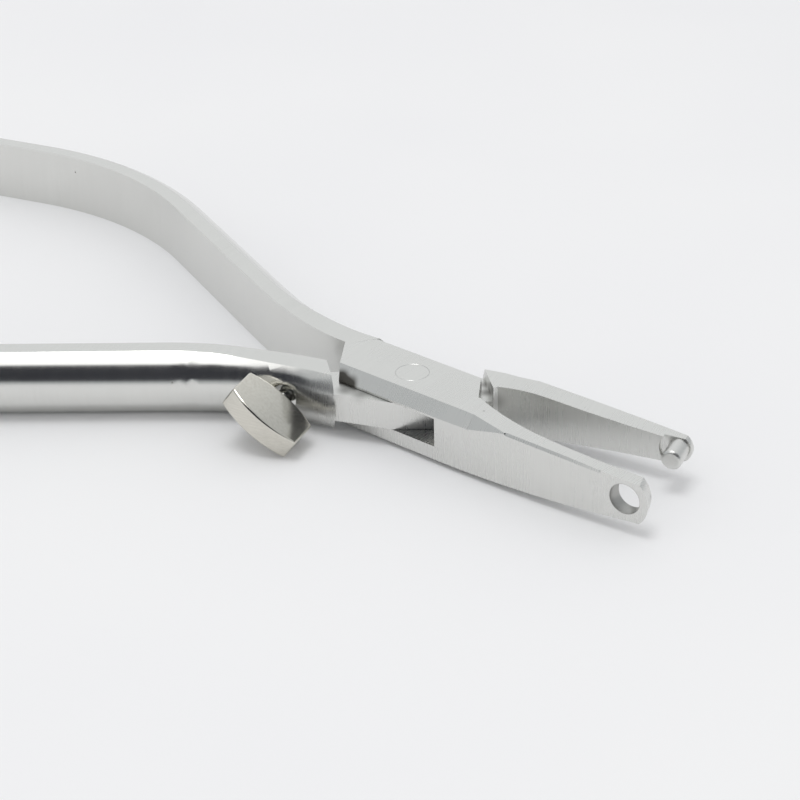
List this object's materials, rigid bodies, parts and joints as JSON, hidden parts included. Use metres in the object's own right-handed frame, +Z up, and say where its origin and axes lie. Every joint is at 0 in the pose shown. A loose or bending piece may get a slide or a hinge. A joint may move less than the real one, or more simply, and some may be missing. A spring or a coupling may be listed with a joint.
{
  "type": "orthodontic hole punch pliers",
  "caption": "Steel box-joint hole punch pliers for clear aligners and bands, with a round punch and matching hole at the jaw tips and a wing stop screw that limits the closing stroke.",
  "frame": {"origin": "centre of the footprint on the surface the pliers lie on, with the jaws as far open as in the picture", "axes": "+X along the middle line of the open pliers towards the jaw tips, +Y towards the handle of the arm that carries the hole, +Z up, along the pivot axis"},
  "size_m": [0.1362, 0.0694, 0.0084],
  "materials": {
    "satin_steel": "satin, finely ground",
    "rivet_steel": "satin, flush ground",
    "hard_steel": "fine turned",
    "screw_steel": "bright satin"
  },
  "bodies": {
    "die_side": {"die_arm": "satin_steel", "pivot_pin": "rivet_steel"},
    "punch_side": {"punch_arm": "satin_steel", "punch_pin": "hard_steel"},
    "stop_shank": {"stop_screw_shank": "screw_steel"},
    "stop_wing": {"stop_screw_wing": "screw_steel"}
  },
  "joints": [
    {"name": "pliers_pivot", "type": "hinge", "parent": "die_side", "child": "punch_side", "pos_m": [0.03321, 0, 0.0042], "axis": [0, 0, 1], "range_deg": [-16, 18]},
    {"name": "stop_slide", "type": "slide", "parent": "punch_side", "child": "stop_shank", "axis": [0.1392, -0.9903, 0], "range_m": [-0.0004, 0.0016]},
    {"name": "stop_turn", "type": "hinge", "parent": "stop_shank", "child": "stop_wing", "pos_m": [0.02025, -0.01192, 0.0042], "axis": [0.1392, -0.9903, 0], "range_deg": [-360, 1440]}
  ],
  "couplings": [
    {"joint": "stop_turn", "follows": "stop_slide", "rad_per_m": 15708}
  ]
}
